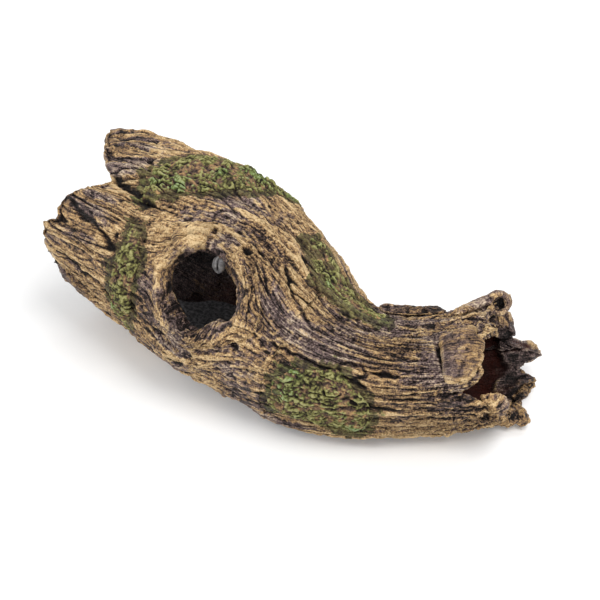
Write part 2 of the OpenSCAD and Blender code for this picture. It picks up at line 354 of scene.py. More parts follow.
# Marks in the bark, each by its distance along and round the log from the knot's centre, then its
# half length, half width and depth (a negative depth stands up)
MARKS = [
    (-10.5, 25.5, 2.6, 3.8, 5.5),
    (-2.0, 35.5, 2.6, 2.4, 2.4),
    (7.9, 28.8, 3.0, 2.8, 2.8),
    (87.6, 6.3, 6.5, 2.6, 3.0),
    (101.0, 40.0, 5.0, 3.0, 3.2),
    (75.5, 4.5, 3.4, 4.0, -2.0),
    (-40.0, -22.0, 3.4, 2.4, 2.0),
    (30.0, -12.0, 5.0, 2.2, 2.2),
    (-12.0, 25.0, 9.0, 6.0, -2.2),
    (-90.0, 76.0, 24.0, 15.0, -3.2),
    (22.0, 12.0, 3.0, 2.4, 2.4),
    (13.0, 33.0, 2.4, 2.0, 2.0),
    (-24.0, 14.0, 3.0, 2.2, 2.0),
]
# Long creases: depth, half width, then the distance along and round at points on each
CREASES = [
    (2.2, 2.4, [(40.0, -3.0), (50.0, -0.5), (59.0, 1.5), (69.0, 1.0), (78.0, -2.0), (84.0, -7.0)]),
    (2.8, 3.2, [(-104.0, 12.0), (-92.0, 8.0), (-80.0, 6.0), (-66.0, 1.0), (-58.0, -1.0)]),
    (3.2, 3.6, [(-90.0, 33.0), (-80.0, 31.0), (-70.0, 30.0), (-58.0, 27.0), (-50.0, 26.0)]),
    (2.4, 2.8, [(-96.0, -16.0), (-84.0, -19.0), (-70.0, -21.0), (-58.0, -24.0)]),
    (2.0, 2.4, [(22.0, 40.0), (30.0, 34.0), (40.0, 27.0), (50.0, 22.0), (58.0, 19.0)]),
    (1.8, 2.2, [(16.0, 22.0), (24.0, 15.0), (30.0, 6.0), (34.0, -4.0)]),
    (1.8, 2.0, [(88.0, 20.0), (98.0, 18.0), (108.0, 19.0)]),
]


def knot_polar(p):
    """Distance from the knot hole's axis and the direction round it, as a pair of unit parts. Points
    on the far side of the log are counted as far from the hole."""
    away = p - knot.middle
    along = away @ knot.axis
    flat = away - along[:, None] * knot.axis
    right = np.cross([0, 0, 1.0], knot.axis)
    right /= np.linalg.norm(right)
    up = np.cross(knot.axis, right)
    r = np.linalg.norm(flat, axis=1)
    wall_depth = 18  # mm behind the collar that still belong to the hole
    behind = 3 * np.maximum(-along - wall_depth, 0)
    return r + behind, flat @ right / np.maximum(r, 1e-6), flat @ up / np.maximum(r, 1e-6)


flap_ends, flap_turns, _ = spine.place(corners("bark_flap"))
flap_s, flap_v = flap_ends.min() - knot.s, flow_offset(np.median(flap_turns))


def marked(s, angle, p):
    """Depth of the pits, slots and creases at each point."""
    u = s - knot.s + 1.3 * noise(p / 4.5, 61)
    v = flow_offset(angle) + 1.3 * noise(p / 4.5, 62)
    depth = np.zeros(len(p))
    for along, round_, half_length, half_width, deep in MARKS:
        r = np.hypot((u - along) / half_length, (v - round_) / half_width)
        depth += deep * (1 - ramp(r, 0.35, 1.1))
        if deep < 0 and half_width < 6:
            depth += 1.5 * furrow(r - 1.25, 0.35)
    for deep, half_width, points in CREASES:
        line_u, line_v = np.array(points).T
        along = 1 - ramp(np.maximum(line_u[0] - u, u - line_u[-1]), -7, 2)
        depth += deep * along * furrow(v - np.interp(u, line_u, line_v), half_width)
    flap_edge = np.hypot((u - (flap_s - 1.5)) / 3.4, (v - flap_v) / 10.0)
    return depth + 4.2 * (1 - ramp(flap_edge, 0.4, 1.2))


def bark_relief(s, angle, p):
    """Height of the carved bark in mm, how ridge-like and how deep in a crack each point is, and
    the grain's own coordinates there."""
    u, a = grain_flow(s, angle)
    sway = 3.6 * noise(grain_points(u, a, 75, 18), 3) + 1.6 * noise(grain_points(u, a, 28, 9), 4)
    a = a + sway / GRAIN_R
    broad = noise(grain_points(u, a, 60, 17), 11)
    planks = noise(grain_points(u, a, 52, 9), 12) * 2.6
    step = planks - np.floor(planks)
    terrace = np.floor(planks) + ramp(step, 0.3, 0.48)
    plank = 1.7 * noise(np.stack([terrace * 1.37 + 0.5 * np.cos(a), u / 50, 0.5 * np.sin(a)], 1), 29)
    calm = ramp(plank, 0.15, 0.6)
    ropes = bundles(noise(grain_points(u, a, 42, 8.6), 13))
    fibres = bundles(noise(grain_points(u, a, 24, 4.6), 14))
    slats = bundles(noise(grain_points(u, a, 75, 12), 30))
    threads = noise(grain_points(u, a, 9, 1.6), 15)
    grit = fractal(p / 3.4, 2, 16)
    crest = furrow(noise(grain_points(u, a, 30, 6.5), 21), 0.16)
    come_and_go = noise(grain_points(u, a, 26, 15), 17)
    deep = furrow(noise(grain_points(u, a, 48, 8.5), 18), 0.085) * ramp(come_and_go, -0.2, 0.25)
    fine = furrow(noise(grain_points(u, a, 24, 4.4), 19), 0.12) * ramp(-come_and_go, -0.3, 0.2)
    first, _ = cells(grain_points(u, a, 15, 11), 20)
    pits = 1 - ramp(first, 0.08, 0.17)

    # Rings round the knot, and crumbled bark where the grain turns and near the mouth
    r, across, up = knot_polar(p)
    circle = np.stack([across * 2.2, up * 2.2, r / 3.4 + 0.6 * noise(p / 9, 22)], 1)
    rings = noise(circle, 23) + 0.5 * noise(circle * 2.1, 24)
    ringed = 1 - ramp(r, knot.hole + 7, knot.hole + 16)
    crumbs = fractal(p / 5.2, 3, 25, 0.6)
    turned = ramp(noise(p / 26, 26) + 0.75 * (1 - ramp(np.abs(r - knot.hole - 22), 4, 16)), 0.25, 0.7)
    crumbled = np.maximum(0.75 * turned, 1 - ramp(rims.from_right(s, angle), 6, 58))

    lined = 0.75 * ropes + 0.5 * fibres + 0.35 * threads
    lined = lined * (1 - 0.8 * ringed) + 0.95 * bundles(rings) * ringed
    crumbled = np.maximum(crumbled, 0.55 * ringed)
    web = furrow(noise(p / 6.5, 27), 0.11) * ramp(noise(p / 9, 28), -0.2, 0.3)
    lined = lined * (1 - 0.55 * crumbled) + (0.3 + 1.1 * crumbled) * crumbs + crumbled * (web - 0.2)
    lined = lined * (1 - 0.5 * calm)
    cut = (1 - 0.6 * crumbled) * (1 - 0.7 * ringed)
    split_end = 1 - ramp(rims.from_left(s, angle), 20, 60)
    marks = marked(s, angle, p)
    height = (1.6 * broad + (1.0 + 0.5 * split_end) * terrace * (1 - ringed) + lined
              + 1.5 * split_end * slats + 0.6 * crest + 0.36 * grit
              - (1.9 + 1.3 * split_end) * deep * cut - (1.0 + 0.6 * split_end) * fine * cut
              - 0.9 * pits - marks)
    from_flap = np.hypot((s - knot.s - flap_s - 9) / 15, (flow_offset(angle) - flap_v) / 15)
    under_flap = 1 - ramp(from_flap, 0.7, 1.1)
    height = height * (1 - 0.6 * under_flap) - 0.6 * under_flap
    crack = np.clip(0.8 * deep * cut + 0.5 * fine * cut + 0.4 * pits + marks / 4.0, 0, 1)
    grain = np.stack([u, GRAIN_R * np.cos(a), GRAIN_R * np.sin(a)], 1)
    return height, crack, grain, plank * (1 - 0.5 * crumbled)


def worn(p, n, edges):
    """How far each point stands above the surface near it: about -1 in a hollow and 1 on a ridge."""
    near = ((p - averaged(p, edges, 4)) * n).sum(1)
    wide = ((p - averaged(p, edges, 24)) * n).sum(1)
    return 0.6 * np.tanh(near / NEAR_RISE) + 0.6 * np.tanh(wide / WIDE_RISE)


class Rims:
    """Where the log's two open ends lie, at each angle."""

    BINS = 90
    EVEN = 7  # bins to each side that the mouth's even edge is averaged over

    def __init__(self, found):
        s, angle, _ = spine.place(found)
        bins = ((angle / (2 * np.pi)) % 1 * self.BINS).astype(int) % self.BINS
        self.left = np.array([s[bins == b].min() for b in range(self.BINS)])
        self.right = np.array([s[bins == b].max() for b in range(self.BINS)])
        around = np.arange(self.BINS)
        apart = abs(around[:, None] - around)
        window = np.minimum(apart, self.BINS - apart) <= self.EVEN
        self.right_even = (window * self.right).sum(1) / window.sum(1)

    def edge(self, table, angle):
        """Where an end's table puts its edge at each angle."""
        turn = (angle / (2 * np.pi)) % 1 * self.BINS - 0.5
        return np.interp(turn, np.arange(self.BINS), table, period=self.BINS)

    def from_left(self, s, angle):
        return s - self.edge(self.left, angle)

    def from_right(self, s, angle):
        return self.edge(self.right, angle) - s


def bare_skins():
    """For each shell, a tree of the other shells' outer faces, without those that a shell covers."""
    whole = {}
    for name in SHELLS:
        mesh = NODES[name].data
        whole[name] = (corners(name), [tuple(f.vertices) for f in mesh.polygons])
    trees = {name: tree_of(*whole[name]) for name in SHELLS}
    bare = {}
    for name, (vertices, faces) in whole.items():
        middles = np.array([vertices[list(f)].mean(0) for f in faces])
        normals = np.array([f.normal for f in NODES[name].data.polygons])
        s, angle, _ = spine.place(middles)
        outward = spine.outward(s, angle)
        above = 12.0  # mm to look outwards for a shell that covers the face
        kept = []
        for face, middle, out, facing in zip(faces, middles, outward, (normals * outward).sum(1)):
            covered = any(trees[other].ray_cast(Vector(middle), Vector(out), above)[0]
                          for other in SHELLS if other != name)
            if facing > 0.3 and not covered:
                kept.append(face)
        bare[name] = (vertices, kept)
    beside = {}
    for name in SHELLS:
        vertices, faces = [], []
        for other in SHELLS:
            if other != name:
                faces += [[i + len(vertices) for i in face] for face in bare[other][1]]
                vertices += list(bare[other][0])
        beside[name] = tree_of(vertices, faces)
    return beside


def closed_up(p, out, tree):
    """Draws a shell's skin a little way over the glued joints beside it, so that no gap shows."""
    reach, pull, slope = 7.0, 2.4, 0.15
    nearest, far = distances(p, tree, reach)
    across = nearest - p
    across -= (across * out).sum(1)[:, None] * out
    shift = pull * (1 - far / reach) ** 2
    past = np.clip(shift - np.linalg.norm(across, axis=1), 0, None)
    beside = far < reach
    moved = p + unit(across) * (shift * beside)[:, None] - out * (past * slope * beside)[:, None]
    return moved, 1 - ramp(far, 3, reach)


# How far the splintered end stands out past the CAD end, in mm
LEFT_REACH = 2.5
# Lobes of the broken mouth: angle and half width in degrees, and how far each one reaches in mm
LOBES = [(217, 15, 6.0), (191, 9, -7.0), (158, 13, -9.0), (239, 6, 4.0), (20, 12, -2.0)]
# The mouth's underside: angle and half width in degrees, and how far it draws in in mm
TUCK = (316, 26, 6.0)
# The dished side of the knot hole: how far it comes towards the hole's axis and sinks, in mm
DISH_SHIFT, DISH_SINK = 8.5, 7.5


def from_angle(turn, at):
    """Degrees from one angle round the log to another, -180 to 180."""
    return (turn - at + 180) % 360 - 180


def hole_dish(r, across, up):
    """How far down the dished side of the knot hole each point is, from 0 at its lip to 1."""
    return np.clip(1 - (r - knot.hole) / 5, 0, 1) * ramp(across + 0.2 * up, -0.1, 0.5)


def hole_warp(p):
    """Shift that makes the knot hole's edge uneven, wider towards the arm and dished on that side."""
    r, across, up = knot_polar(p)
    right = np.cross([0, 0, 1.0], knot.axis)
    right /= np.linalg.norm(right)
    way = across[:, None] * right + up[:, None] * np.cross(knot.axis, right)
    uneven = 2.4 * noise(np.stack([across * 1.6, up * 1.6, np.full(len(p), 0.5)], 1), 63) + 1.2 * across
    near = 1 - ramp(r, knot.hole + 3, knot.hole + 13)
    dish = hole_dish(r, across, up)
    return way * (uneven * near - DISH_SHIFT * dish)[:, None] - knot.axis * (DISH_SINK * dish)[:, None]


def mouth_tuck(s, angle):
    """How far the underside of the mouth draws in towards the centre line."""
    at, half, depth = TUCK
    turn = np.degrees(angle) % 360
    before = rims.edge(rims.right_even, angle) - s
    return depth * np.exp(-((turn - at) / half) ** 2) * (1 - ramp(before, -6, 36))


def drawn_out(p, way, amount):
    """Points stretched along a direction through their own middle."""
    return p + way * (amount * ((p - p.mean(0)) @ way))[:, None]


def shell_piece(node, mesh, tree, beside, material, slot):
    """One shell of the log with carved bark outside, ripples inside, and broken ends."""
    p, n, edges = read(mesh)
    s, angle, _ = spine.place(p)
    out = spine.outward(s, angle)
    facing = (n * out).sum(1)
    outer = ramp(facing, -0.1, 0.5)
    inner = ramp(-facing, 0.2, 0.7)
    broken = 1 - outer - inner
    p, by_joint = closed_up(p, out, tree)
    s, angle, _ = spine.place(p)
    dish = hole_dish(*knot_polar(p))
    p = p + hole_warp(p) - out * mouth_tuck(s, angle)[:, None]
    height, crack, grain, plank = bark_relief(s, angle, p)
    height = height * (1 - 0.7 * dish)
    sole = ramp(p[:, 2], 0.5, 7)
    glued = broken * (1 - ramp(distances(p, beside, 4.0)[1], 1.5, 3.5))
    even = unit(averaged(n, edges, 12))
    way = unit(even * (1 - by_joint[:, None]) + out * by_joint[:, None])
    ripples = (1.1 * noise(grain_points(s, angle, 15, 34), 31) + 0.6 * noise(p / 9, 32)
               + 0.3 * noise(p / 3, 33))
    chips = 0.9 * noise(p / 4.5, 34) + 0.5 * noise(p / 2.0, 35)
    moved = p + way * (outer * height * (0.25 + 0.75 * sole))[:, None]
    moved += n * (inner * ripples + (broken - glued) * chips * (1 - by_joint))[:, None]

    # The splintered end: long narrow teeth along the grain, thinner towards their tips
    from_left = rims.from_left(s, angle)
    near_left = 1 - ramp(from_left, 0, 26)
    one_place = np.full(len(s), 3.0)
    teeth = (noise(grain_points(one_place, angle, 1, 3.4), 41)
             - 3.4 * bundles(noise(grain_points(one_place, angle, 1, 11), 42)))
    moved += spine.at(spine.d, s) * ((teeth - LEFT_REACH) * near_left)[:, None]
    moved -= out * (outer * 2.4 * (1 - ramp(from_left, 0, 8)) ** 2)[:, None]
    moved += out * (inner * near_left * 2.2)[:, None]

    # The mouth: broad lobes, then rounded lumps at three sizes
    from_right = rims.from_right(s, angle)
    near_right = (1 - ramp(from_right, 2, 20)) * sole
    turn = np.degrees(angle) % 360
    reach = sum(far * np.exp(-(from_angle(turn, at) / half) ** 2) for at, half, far in LOBES)
    moved += spine.at(spine.d, s) * (reach * (1 - ramp(from_right, 0, 16)))[:, None]
    lumps = noise(p / 8.5, 51) * 2.4 + noise(p / 4.2, 52) * 1.8 + noise(p / 2.3, 53) * 0.9
    moved += n * (lumps * near_right * (1 - 0.45 * broken))[:, None]

    # The far side of the mouth is a thick lip that ends inside in a step
    inward = rims.edge(rims.right_even, angle) - s
    far_side = ramp(turn, 135, 165) * (1 - ramp(turn, 240, 262))
    lip = (inner + 0.5 * broken) * far_side * (1 - ramp(inward + 2.5 * noise(p / 7, 54), 11, 15))
    moved -= out * (6.5 * lip)[:, None]
    ridge = worn(moved, way * outer[:, None] + n * (1 - outer[:, None]), edges)
    hole_wall = (1 - ramp(knot_polar(p)[0], knot.hole + 1.0, knot.hole + 4.0)) * (facing > -0.3)
    ridge = ridge - 0.8 * hole_wall * (1 - dish) - 0.1 * dish
    # Inner walls near the two open ends take the bark's paint instead of the dark inside colours: painted
    # light, where light comes in at the ends
    lit_wall = inner * np.maximum(1 - ramp(from_right, 3, 13), lip)
    lit_wall = lit_wall + inner * (1 - ramp(from_left, 18, 62)) * 0.9
    ridge = ridge - 0.5 * lit_wall
    plank = plank * outer + 0.8 * dish + 0.7 * lit_wall
    _, moss_gap = distances(p, moss_tree, 12.0)
    green = 1 - ramp(moss_gap + 4.0 * noise(p / 5, 71), 0.5, 7.0)

    inside = np.clip(inner - lit_wall + glued, 0, 1)
    write(mesh, moved, ridge=ridge, crack=crack * outer, inside=inside, grain=grain,
          green=green * outer, plank=plank)
    return piece(node + "_carved", mesh, material, slot, node)


def chipped(p, broad=0.0):
    """Chipping at three sizes, on top of anything broader."""
    return broad + noise(p / 4.5, 81) + 0.6 * noise(p / 2.2, 82) + 0.3 * noise(p / 1.1, 83)


def wood_piece(node, material, slot, amount=1.0, chips=0.5, swell=0.0, dim=0.0):
    """A lesser piece of wood: part of the bark's relief, its own chipping, and any swelling."""
    mesh = remeshed([copied(node)], PIECE_VOXEL)
    p, n, edges = read(mesh)
    s, angle, _ = spine.place(p)
    out = spine.outward(s, angle)
    outer = ramp((n * out).sum(1), -0.1, 0.6)
    dish = hole_dish(*knot_polar(p)) * (node == "knot_collar")
    if node == "knot_collar":
        p = p + hole_warp(p)
    if node == "mouth_burl":
        p = p - out * mouth_tuck(s, angle)[:, None]
    if node == "knot_stub":
        round_ = np.cross(knot.axis, unit((p.mean(0) - knot.middle)[None])[0])
        p = drawn_out(p, round_, 0.5)
    height, crack, grain, plank = bark_relief(s, angle, p)
    rough = chipped(p, 1.2 * noise(p / 11, 84))
    even = unit(averaged(n, edges, 3))
    moved = p + even * ((outer * height * amount + chips * rough) * (1 - 0.7 * dish) + swell)[:, None]
    hole_wall = (1 - ramp(knot_polar(p)[0], knot.hole + 2.0, knot.hole + 5.0)) * (1 - dish)
    ridge = worn(moved, even, edges) - 0.8 * hole_wall - 0.1 * dish - dim
    write(mesh, moved, ridge=ridge, crack=crack * outer * amount,
          inside=np.zeros(len(p)), grain=grain, green=np.zeros(len(p)), plank=plank * 0.5 + 0.8 * dish)
    return piece(node + "_carved", mesh, material, slot, node)


def moss_piece(node, material):
    """A moss pad: it follows the bark under it, thins to nothing at a ragged edge, and is granular."""
    mesh = remeshed([copied(node)], PIECE_VOXEL)
    p, n, edges = read(mesh)
    s, angle, _ = spine.place(p)
    out = spine.outward(s, angle)
    outer = ramp((n * out).sum(1), 0.0, 0.7)
    height, crack, _, _ = bark_relief(s, angle, p)
    first, _ = cells(p / 2.6 + 0.4 * np.stack([noise(p / 3, k) for k in (91, 92, 93)], 1), 94)
    small, _ = cells(p / 1.3, 95)
    grains = 0.9 * (0.6 - first) + 0.55 * (0.6 - small) + 0.6 * noise(p / 1.5, 99) + noise(p / 5.5, 89)
    thin = 1.9 * noise(p / 8.5, 96) + 1.3 * noise(p / 4.0, 97)
    split = furrow(noise(p / np.array([15, 9, 9]), 98), 0.07) * ramp(noise(p / 11, 90), 0.05, 0.35)
    moved = p + out * (0.75 * height - 0.8 + outer * (grains + thin - 1.6 * split - 0.4 * crack))[:, None]
    write(mesh, moved, lump=worn(moved, out, edges), crack=np.clip(split + 0.6 * crack, 0, 1), thin=thin)
    return piece(node + "_tufted", mesh, material, "moss", node)


def slab_piece(node, material, slot):
    """A cast slab with only a low, even roughness."""
    mesh = remeshed([copied(node)], PIECE_VOXEL)
    p, n, _ = read(mesh)
    write(mesh, p + n * (0.25 * fractal(p / 6.0, 2, 99))[:, None])
    return piece(node + "_cast", mesh, material, slot, node)


def nodule_piece(node, material, slot):
    """A smooth egg of old bark, with a slit down the side that shows in the hole."""
    mesh = remeshed([copied(node)], PIECE_VOXEL)
    p, n, _ = read(mesh)
    p = drawn_out(p, np.array([0, 0, 1.0]), 0.45)
    right = unit(np.cross([0, 0, 1.0], knot.axis)[None])[0]
    away = p - p.mean(0)
    slit = furrow(away @ right - 1.1 + 0.05 * away[:, 2] ** 2, 1.1) * ramp(n @ knot.axis, 0.1, 0.5)
    moved = p + n * (0.4 * fractal(p / 3.0, 2, 99) - 1.3 * slit)[:, None]
    write(mesh, moved, crack=slit)
    return piece(node + "_cast", mesh, material, slot, node)


def tube(path, radii, sides=12):
    """Vertices and faces of a closed tube along a path, given the radius at each point of it."""
    path = np.asarray(path, float)
    heading = unit(np.gradient(path, axis=0))
    across = unit(np.cross(heading, np.array([0.3, 0.5, 0.81])))
    other = np.cross(heading, across)
    turn = np.linspace(0, 2 * np.pi, sides, endpoint=False)
    rings = path[:, None] + np.asarray(radii)[:, None, None] * (
        across[:, None] * np.cos(turn)[None, :, None] + other[:, None] * np.sin(turn)[None, :, None])
    loop = [(k, (k + 1) % sides) for k in range(sides)]
    faces = [(start + k, start + after, start + sides + after, start + sides + k)
             for start in range(0, (len(path) - 1) * sides, sides) for k, after in loop]
    last = (len(path) - 1) * sides
    faces += [tuple(range(sides))[::-1], tuple(range(last, last + sides))]
    return rings.reshape(-1, 3), faces


def horn_piece(node, material, slot):
    """The horn over the mouth, rolled at its end into a hollow curl, with a small whorl beside it."""
    low, high = (np.array(c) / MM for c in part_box(node))
    s, angle, _ = spine.place(np.array([[high[0], high[1], (low[2] + high[2]) / 2]]))
    along, front, up = spine.at(spine.d, s)[0], spine.at(spine.side, s)[0], spine.at(spine.up, s)[0]
    face = unit((front * 0.86 + up * 0.35 + along * 0.15)[None])[0]
    east = unit(np.cross(up, face)[None])[0]
    north = np.cross(face, east)
    heart = np.array([high[0] - 1.5, high[1] - 6.5, (low[2] + high[2]) / 2 - 1.6])
    parts = [copied(node)]
    points = 26
    turn = np.linspace(-0.9 * np.pi, 0.95 * np.pi, points)
    wide = np.linspace(4.9, 4.0, points)
    curl = heart + 1.15 * wide[:, None] * (east * np.cos(-turn)[:, None] + north * np.sin(-turn)[:, None])
    parts.append(blank("curl", *tube(curl, np.linspace(2.3, 1.7, points))))
    back = [heart - face * d for d in (1.6, 3.6, 5.6)]
    parts.append(blank("back", *tube(back, [5.6, 5.8, 4.0])))
    heart_2 = heart - along * 7.2 - up * 1.6 + face * 1.4
    ring = heart_2 + 3.1 * (east * np.cos(turn)[:, None] + north * np.sin(turn)[:, None])
    parts.append(blank("whorl", *tube(ring, np.full(points, 1.3))))
    back = [heart_2 - face * d for d in (-0.4, 1.6, 3.6)]
    parts.append(blank("whorl_back", *tube(back, [1.7, 3.6, 2.6])))
    mesh = remeshed(parts, PIECE_VOXEL)
    p, n, edges = read(mesh)
    away = p - heart
    deep = away @ face
    r = np.linalg.norm(away - deep[:, None] * face, axis=1)
    hollow = (1 - ramp(r, 3.2, 4.9)) * ramp(-deep, -1.5, 0.8)
    moved = p + n * (0.55 * chipped(p))[:, None]
    s, angle, _ = spine.place(p)
    _, _, grain, _ = bark_relief(s, angle, p)
    write(mesh, moved, ridge=worn(moved, n, edges), crack=0.85 * hollow, inside=np.zeros(len(p)),
          grain=grain, green=np.zeros(len(p)), plank=np.zeros(len(p)))
    return piece(node + "_carved", mesh, material, slot, node)


# ---- Materials ---------------------------------------------------------------------------------


def paint(red, green, blue):
    """A colour given in screen values from 0 to 255."""
    parts = [c / 255 for c in (red, green, blue)]
    return (*[c / 12.92 if c <= 0.04045 else ((c + 0.055) / 1.055) ** 2.4 for c in parts], 1)


class Shader:
    """A material's node tree, built up one node at a time."""

    def __init__(self, name):
        self.material = bpy.data.materials.new(name)
        self.material.use_nodes = True
        self.tree = self.material.node_tree
        self.surface = next(n for n in self.tree.nodes if n.type == "BSDF_PRINCIPLED")

    def put(self, socket, value):
        """Links a node's output to a socket, or sets the socket to a fixed value."""
        if isinstance(value, bpy.types.NodeSocket):
            self.tree.links.new(value, socket)
        else:
            socket.default_value = value

    def math(self, operation, a, b=0.0):
        node = self.tree.nodes.new("ShaderNodeMath")
        node.operation = operation
        self.put(node.inputs[0], a)
        self.put(node.inputs[1], b)
        return node.outputs[0]

    def mix(self, factor, a, b):
        node = self.tree.nodes.new("ShaderNodeMix")
        node.data_type = "RGBA"
        node.clamp_factor = True
        self.put(node.inputs[0], factor)
        self.put(node.inputs[6], a)
        self.put(node.inputs[7], b)
        return node.outputs[2]

    def span(self, value, low, high, to_low=0.0, to_high=1.0):
        """A value carried smoothly from low..high to to_low..to_high."""
        node = self.tree.nodes.new("ShaderNodeMapRange")
        node.interpolation_type = "SMOOTHSTEP"
        for socket, number in zip(node.inputs, (value, low, high, to_low, to_high)):
            self.put(socket, number)
        return node.outputs[0]

    def stops(self, value, *colours):
        """A colour read off a scale of (value, colour) stops, which run from -1 to 1."""
        node = self.tree.nodes.new("ShaderNodeValToRGB")
        scale = node.color_ramp
        while len(scale.elements) < len(colours):
            scale.elements.new(0.5)
        for element, (at, colour) in zip(scale.elements, colours):
            element.position = at * 0.5 + 0.5
            element.color = colour
        halved = self.math("MULTIPLY", value, 0.5)
        self.put(node.inputs[0], self.math("ADD", halved, 0.5))
        return node.outputs[0]

    def stored(self, name, output="Fac"):
        """What write() stored at the mesh's points under a name."""
        node = self.tree.nodes.new("ShaderNodeAttribute")
        node.attribute_name = name
        return node.outputs[output]

    def place(self):
        """The point's own place on the object, in metres."""
        return self.tree.nodes.new("ShaderNodeTexCoord").outputs["Object"]

    def scaled(self, vector, scale):
        node = self.tree.nodes.new("ShaderNodeVectorMath")
        node.operation = "MULTIPLY"
        self.put(node.inputs[0], vector)
        self.put(node.inputs[1], scale)
        return node.outputs[0]

    def noise(self, vector, scale, detail=3.0, rough=0.55):
        """Noise about 0, mostly within -0.5 to 0.5."""
        node = self.tree.nodes.new("ShaderNodeTexNoise")
        self.put(node.inputs["Vector"], vector)
        self.put(node.inputs["Scale"], scale)
        self.put(node.inputs["Detail"], detail)
        self.put(node.inputs["Roughness"], rough)
        return self.math("MULTIPLY", self.math("SUBTRACT", node.outputs["Fac"], 0.5), 2.0)

    def sum(self, *weighted):
        """Values added up, each with its own weight."""
        total = self.math("MULTIPLY", *weighted[0])
        for value, weight in weighted[1:]:
            total = self.math("ADD", total, self.math("MULTIPLY", value, weight))
        return total

    def bump(self, height, distance, strength=1.0):
        node = self.tree.nodes.new("ShaderNodeBump")
        self.put(node.inputs["Height"], height)
        self.put(node.inputs["Distance"], distance)
        self.put(node.inputs["Strength"], strength)
        return node.outputs["Normal"]

    def finish(self, colour, roughness, normal=None, specular=0.3):
        self.put(self.surface.inputs["Base Color"], colour)
        self.put(self.surface.inputs["Roughness"], roughness)
        self.put(self.surface.inputs["Specular IOR Level"], specular)
        if normal is not None:
            self.put(self.surface.inputs["Normal"], normal)
        return self.material


# The bark's colours from dark to light, then those of the walls inside: their rust-red paint and a
# near-black painted shade
WASH = paint(23, 17, 15)
PLUM = paint(82, 66, 62)
UMBER = paint(86, 67, 53)
MAUVE = paint(130, 109, 107)
BROWN = paint(142, 113, 86)
OCHRE = paint(190, 152, 103)
STONE = paint(178, 156, 137)
STRAW = paint(238, 206, 156)
BONE = paint(234, 212, 186)
RUST = paint(66, 26, 18)
SHADE_BLACK = paint(13, 11, 11)


def moss_tint(m, here, lift):
    """Moss green, from dark olive in the hollows to yellow-green and mint on the tips."""
    shade = m.noise(here, 160.0, 3.0)
    fine = m.noise(here, 700.0, 2.0)
    value = m.math("SUBTRACT", m.sum((lift, 1.1), (shade, 1.1), (fine, 1.2)), 0.12)
    olive = m.stops(value, (-0.8, paint(30, 25, 18)), (-0.3, paint(70, 65, 41)),
                    (0.1, paint(106, 102, 62)), (0.5, paint(134, 132, 76)), (0.95, paint(170, 166, 112)))
    leaf = m.stops(value, (-0.8, paint(28, 25, 18)), (-0.3, paint(62, 64, 38)),
                   (0.1, paint(90, 98, 54)), (0.5, paint(114, 130, 66)), (0.95, paint(156, 174, 126)))
    return m.mix(m.span(m.noise(here, 48.0, 2.0), 0.0, 0.35), olive, leaf)


def painted_bark(name, lift=0.0, warmth=1.0, fine=1.0):
    """Plum and brown base, ochre dragged over the ridges, black wash settled in the cracks."""
    m = Shader(name)
    grain = m.stored("grain", "Vector")
    stored = ("ridge", "crack", "inside", "green", "plank")
    ridge, crack, inside, green, plank = (m.stored(name) for name in stored)
    here = m.place()
    streak = m.noise(m.scaled(grain, (0.09, 0.75, 0.75)), 1.0, 3.0, 0.6)
    hair = m.noise(m.scaled(grain, (0.2, 1.35, 1.35)), 1.0, 2.0, 0.6)
    patch = m.noise(here, 34.0, 3.0)
    crumb = m.noise(here, 330.0, 3.0, 0.65)
    speck = m.noise(here, 1100.0, 1.0)
    area = m.noise(here, 95.0, 2.0)
    coarse = m.math("ABSOLUTE", m.noise(m.scaled(grain, (0.05, 0.42, 0.42)), 1.0, 1.0))
    close = m.math("ABSOLUTE", m.noise(m.scaled(grain, (0.09, 0.8, 0.8)), 1.0, 1.0))
    lines = m.sum((m.span(coarse, 0.0, 0.09, 1.0, 0.0), 0.55), (m.span(close, 0.0, 0.14, 1.0, 0.0), 0.45))
    tone = m.sum((ridge, 0.68), (streak, 0.45), (hair, 0.9 * fine), (patch, 1.0), (area, 0.5),
                 (crumb, 0.5 * fine), (speck, 1.1 * fine), (lines, -0.8 * fine), (plank, -0.42))
    tone = m.math("ADD", tone, 0.06 + lift)
    warm = m.stops(tone, (-0.9, WASH), (-0.5, UMBER), (-0.12, BROWN), (0.28, OCHRE), (0.9, STRAW))
    cool = m.stops(tone, (-0.9, WASH), (-0.45, PLUM), (0.0, MAUVE), (0.42, STONE), (0.98, BONE))
    hue = m.sum((m.noise(here, 26.0, 3.0), 1.0), (streak, 0.5), (ridge, 0.25), (plank, -0.55))
    colour = m.mix(m.span(hue, -0.22 / warmth, 0.12), cool, warm)
    mossy = m.sum((green, 1.0), (crumb, 0.9), (ridge, 0.15))
    dusting = moss_tint(m, here, m.math("SUBTRACT", m.math("MULTIPLY", ridge, 0.5), 0.25))
    colour = m.mix(m.span(mossy, 0.42, 0.62, 0.0, 0.85), colour, dusting)
    settled = m.sum((crack, 1.0), (crumb, 0.35))
    colour = m.mix(m.span(settled, 0.3, 0.75), colour, WASH)
    # The walls inside are painted near-black as shade, and show their rust-red paint low down and towards
    # the mouth
    apart = m.tree.nodes.new("ShaderNodeSeparateXYZ")
    m.put(apart.inputs[0], here)
    along, height = apart.outputs[0], apart.outputs[2]
    unshaded_rust = m.math("MAXIMUM", m.span(along, 0.04, 0.08), m.span(height, 0.018, 0.009))
    wall = m.mix(unshaded_rust, SHADE_BLACK, RUST)
    wall = m.mix(m.span(crumb, -0.3, 0.4, 0.0, 0.45), wall, WASH)
    colour = m.mix(inside, colour, wall)
    relief = m.sum((hair, 0.6), (crumb, 0.5), (streak, 0.35), (speck, 0.6), (lines, -0.7))
    rough = m.span(tone, -0.6, 0.4, 0.42, 0.66)
    return m.finish(colour, rough, m.bump(relief, 0.0015, 1.0))


